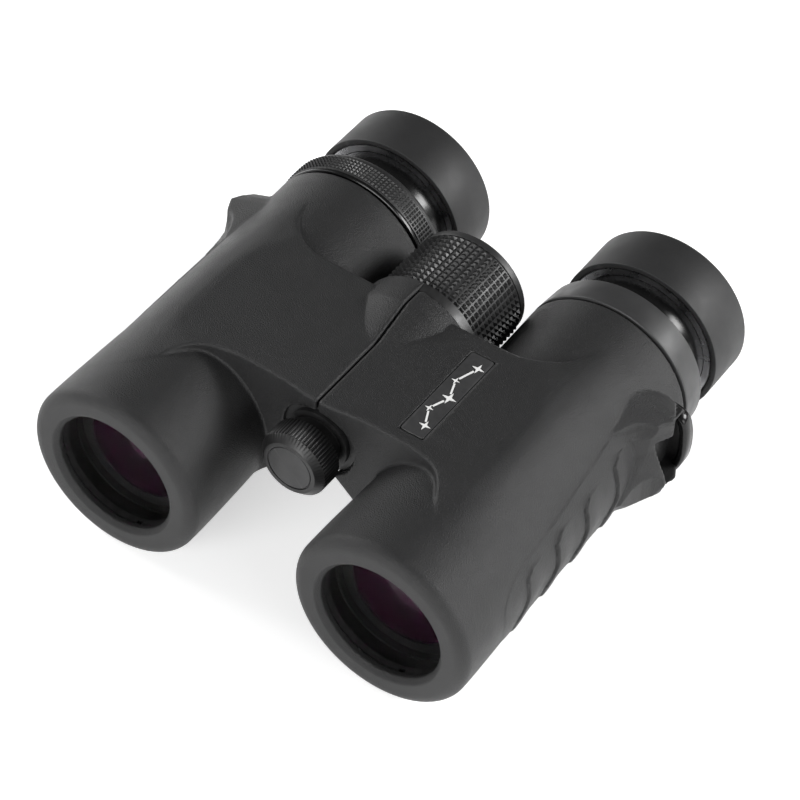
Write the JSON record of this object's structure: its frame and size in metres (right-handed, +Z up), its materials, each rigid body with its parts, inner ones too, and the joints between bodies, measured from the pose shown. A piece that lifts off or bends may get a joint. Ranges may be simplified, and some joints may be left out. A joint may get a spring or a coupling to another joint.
{
  "type": "binoculars",
  "caption": "Compact roof-prism binoculars with a closed bridge, centre focus wheel, folding hinge, twist-up eyecups, dioptre ring and strap lugs.",
  "frame": {"origin": "centre of the bounding box's footprint, on the surface that the open binocular lies on", "axes": "+X towards the user's left barrel, +Y from the objectives to the eyepieces along the optical axes, +Z up from the surface"},
  "size_m": [0.137, 0.129, 0.0519],
  "materials": {
    "armour_rubber": "soft-touch matte rubber with a fine grain",
    "grip_rubber": "matte rubber, moulded knurl",
    "eyecup_rubber": "matte rubber",
    "housing_polymer": "glass-filled polymer, matt black",
    "gloss_polymer": "polished black",
    "satin_ring": "satin black",
    "black_alloy": "black anodised",
    "steel": "ground",
    "brass": "machined",
    "coated_glass": "magenta anti-reflection coating",
    "clear_glass": "polished optical glass",
    "badge": "inset label plate"
  },
  "bodies": {
    "right_half": {"right_housing": "housing_polymer", "right_armour": "armour_rubber", "right_objective_cell": "black_alloy", "right_objective_retaining_ring": "black_alloy", "right_objective_doublet": "clear_glass", "right_objective_rear_lens": "coated_glass", "right_guide_rods": "steel", "right_prism_cage": "housing_polymer", "right_half_penta_prism": "clear_glass", "right_roof_prism": "clear_glass", "right_prism_clip": "steel", "right_ocular_barrel": "gloss_polymer", "right_eyepiece_ring": "black_alloy", "right_strap_bracket": "gloss_polymer", "hinge_axle": "black_alloy", "hinge_washers": "steel", "focus_collar": "black_alloy", "tripod_socket": "brass"},
    "left_half": {"left_housing": "housing_polymer", "left_armour": "armour_rubber", "left_objective_cell": "black_alloy", "left_objective_retaining_ring": "black_alloy", "left_objective_doublet": "clear_glass", "left_objective_rear_lens": "coated_glass", "left_guide_rods": "steel", "left_prism_cage": "housing_polymer", "left_half_penta_prism": "clear_glass", "left_roof_prism": "clear_glass", "left_prism_clip": "steel", "left_ocular_barrel": "gloss_polymer", "left_eyepiece_ring": "satin_ring", "left_strap_bracket": "gloss_polymer", "left_ocular_cell": "black_alloy", "left_field_lens": "clear_glass", "left_eye_lens": "coated_glass", "nameplate": "badge"},
    "focus_wheel": {"focus_wheel_hub": "housing_polymer", "focus_wheel_grip": "grip_rubber", "focus_wheel_cap": "housing_polymer", "focus_screw": "steel"},
    "focus_carriage": {"focus_nut": "brass", "focus_ring": "black_alloy", "right_focusing_cell": "black_alloy", "right_focusing_lens": "clear_glass"},
    "left_focusing_carrier": {"left_focusing_cell": "black_alloy", "left_focusing_lens": "clear_glass"},
    "diopter_ring": {"right_diopter_ring": "grip_rubber"},
    "right_ocular": {"right_ocular_cell": "black_alloy", "right_field_lens": "clear_glass", "right_eye_lens": "coated_glass"},
    "right_eyecup_slider": {"right_eyecup_click_ring": "steel"},
    "right_eyecup_cup": {"right_eyecup": "eyecup_rubber", "right_eyecup_tube": "housing_polymer"},
    "left_eyecup_slider": {"left_eyecup_click_ring": "steel"},
    "left_eyecup_cup": {"left_eyecup": "eyecup_rubber", "left_eyecup_tube": "housing_polymer"},
    "tripod_cap_slider": {"tripod_cap_washer": "grip_rubber"},
    "tripod_cap_knob": {"tripod_cap": "housing_polymer", "tripod_cap_disc": "housing_polymer"}
  },
  "joints": [
    {"name": "interpupillary_hinge", "type": "hinge", "parent": "right_half", "child": "left_half", "pos_m": [0, 0, 0.0349], "axis": [0, 1, 0], "range_deg": [0, 54]},
    {"name": "focus_wheel_turn", "type": "hinge", "parent": "right_half", "child": "focus_wheel", "pos_m": [0, 0, 0.0349], "axis": [0, 1, 0], "range_deg": [-225, 225]},
    {"name": "focus_carriage_slide", "type": "slide", "parent": "right_half", "child": "focus_carriage", "axis": [0, 1, 0], "range_m": [-0.002, 0.002]},
    {"name": "left_focusing_slide", "type": "slide", "parent": "left_half", "child": "left_focusing_carrier", "axis": [0, 1, 0], "range_m": [-0.002, 0.002]},
    {"name": "diopter_turn", "type": "hinge", "parent": "right_half", "child": "diopter_ring", "pos_m": [-0.0375, 0, 0.0236], "axis": [0, 1, 0], "range_deg": [-60, 60]},
    {"name": "right_ocular_slide", "type": "slide", "parent": "right_half", "child": "right_ocular", "axis": [0, 1, 0], "range_m": [-0.001, 0.001]},
    {"name": "left_eyecup_slide", "type": "slide", "parent": "left_half", "child": "left_eyecup_slider", "axis": [0, 1, 0], "range_m": [-0.0078, 0]},
    {"name": "left_eyecup_turn", "type": "hinge", "parent": "left_eyecup_slider", "child": "left_eyecup_cup", "pos_m": [0.0375, 0, 0.0236], "axis": [0, 1, 0], "range_deg": [-110, 0]},
    {"name": "right_eyecup_slide", "type": "slide", "parent": "right_half", "child": "right_eyecup_slider", "axis": [0, 1, 0], "range_m": [-0.0078, 0]},
    {"name": "right_eyecup_turn", "type": "hinge", "parent": "right_eyecup_slider", "child": "right_eyecup_cup", "pos_m": [-0.0375, 0, 0.0236], "axis": [0, 1, 0], "range_deg": [-110, 0]},
    {"name": "tripod_cap_slide", "type": "slide", "parent": "right_half", "child": "tripod_cap_slider", "axis": [0, -1, 0], "range_m": [0, 0.00762]},
    {"name": "tripod_cap_turn", "type": "hinge", "parent": "tripod_cap_slider", "child": "tripod_cap_knob", "pos_m": [0, 0, 0.0349], "axis": [0, -1, 0], "range_deg": [0, 2160]}
  ],
  "couplings": [
    {"joint": "focus_carriage_slide", "follows": "focus_wheel_turn", "m_per_rad": 0.00050924},
    {"joint": "left_focusing_slide", "follows": "focus_wheel_turn", "m_per_rad": 0.00050924},
    {"joint": "diopter_turn", "follows": "right_ocular_slide", "rad_per_m": 1047.1},
    {"joint": "left_eyecup_slide", "follows": "left_eyecup_turn", "m_per_rad": 0.0040624},
    {"joint": "right_eyecup_slide", "follows": "right_eyecup_turn", "m_per_rad": 0.0040624},
    {"joint": "tripod_cap_turn", "follows": "tripod_cap_slide", "rad_per_m": 4947.3}
  ]
}
